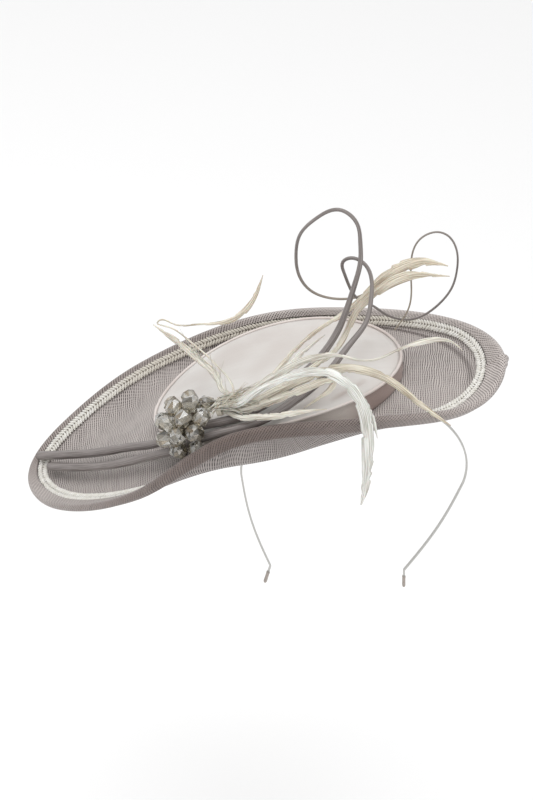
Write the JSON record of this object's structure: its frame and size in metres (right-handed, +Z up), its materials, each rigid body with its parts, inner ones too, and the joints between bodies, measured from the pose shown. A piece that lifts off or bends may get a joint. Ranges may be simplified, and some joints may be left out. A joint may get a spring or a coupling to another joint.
{
  "type": "fascinator headpiece",
  "caption": "Oval sinamay saucer with a satin button, curled quills, biot feathers and a crystal cluster, worn tilted on a slim sprung headband.",
  "frame": {"origin": "inner apex of the headband, where it rests on the crown of the head", "axes": "+Z up out of the head, +X towards the wearer-side that the saucer's high end points to, +Y to the back of the saucer; the saucer is tilted 24 degrees about Y and the headband's plane is turned 10 degrees about Z"},
  "size_m": [0.2845, 0.1599, 0.2726],
  "materials": {
    "sinamay_taupe": "open woven stiffened straw cloth, matt",
    "binding_taupe": "bias strip of the same straw cloth, slight sheen",
    "gimp_braid": "scalloped cord braid, soft sheen",
    "ivory_satin": "smooth duchess satin",
    "taupe_satin": "smooth satin",
    "coated_steel": "satin coating over spring steel",
    "edge_wire_steel": "plain drawn wire",
    "tip_plastic": "soft dipped coating",
    "felt_grey": "pressed wool felt",
    "buckram": "stiff sized cotton",
    "smoky_crystal": "faceted, polished",
    "quill_taupe": "stripped feather shaft, dyed, satin sheen",
    "feather_ivory": "stripped biot feather, dyed",
    "thread_ivory": "waxed sewing thread"
  },
  "bodies": {
    "saucer_and_crown": {"brim_shell": "sinamay_taupe", "rim_wire": "edge_wire_steel", "rim_binding": "binding_taupe", "braid_trim": "gimp_braid", "felt_backing_pad": "felt_grey", "button_form": "buckram", "satin_top_cover": "ivory_satin", "satin_side_band": "taupe_satin", "edge_piping": "ivory_satin", "cluster_base": "buckram", "quill_front": "quill_taupe", "quill_back": "quill_taupe", "stem_whipping": "thread_ivory", "felt_band_strip": "felt_grey", "headband_crown": "coated_steel", "feather_left_tall": "feather_ivory", "feather_left_curled": "feather_ivory", "feather_right_upper": "feather_ivory", "feather_right_middle": "feather_ivory", "feather_short_pale": "feather_ivory", "feather_right_arched": "feather_ivory", "feather_right_slender": "feather_ivory", "feather_hooked": "feather_ivory", "feather_front_drooping": "feather_ivory", "feather_front_low": "feather_ivory", "crystal_bead_01": "smoky_crystal", "crystal_bead_02": "smoky_crystal", "crystal_bead_03": "smoky_crystal", "crystal_bead_04": "smoky_crystal", "crystal_bead_05": "smoky_crystal", "crystal_bead_06": "smoky_crystal", "crystal_bead_07": "smoky_crystal", "crystal_bead_08": "smoky_crystal", "crystal_bead_09": "smoky_crystal", "crystal_bead_10": "smoky_crystal", "crystal_bead_11": "smoky_crystal", "crystal_bead_12": "smoky_crystal", "crystal_bead_13": "smoky_crystal", "crystal_bead_14": "smoky_crystal"},
    "leg_left": {"headband_leg_left": "coated_steel", "tip_sleeve_left": "tip_plastic"},
    "leg_right": {"headband_leg_right": "coated_steel", "tip_sleeve_right": "tip_plastic"}
  },
  "joints": [
    {"name": "left_leg_flex", "type": "hinge", "parent": "saucer_and_crown", "child": "leg_left", "pos_m": [-0.05416, -0.00955, -0.01986], "axis": [-0.1736, 0.9848, 0], "range_deg": [0, 15], "stiffness_Nm_per_rad": 0.9},
    {"name": "right_leg_flex", "type": "hinge", "parent": "saucer_and_crown", "child": "leg_right", "pos_m": [0.05416, 0.00955, -0.01986], "axis": [0.1736, -0.9848, 0], "range_deg": [0, 15], "stiffness_Nm_per_rad": 0.9}
  ]
}
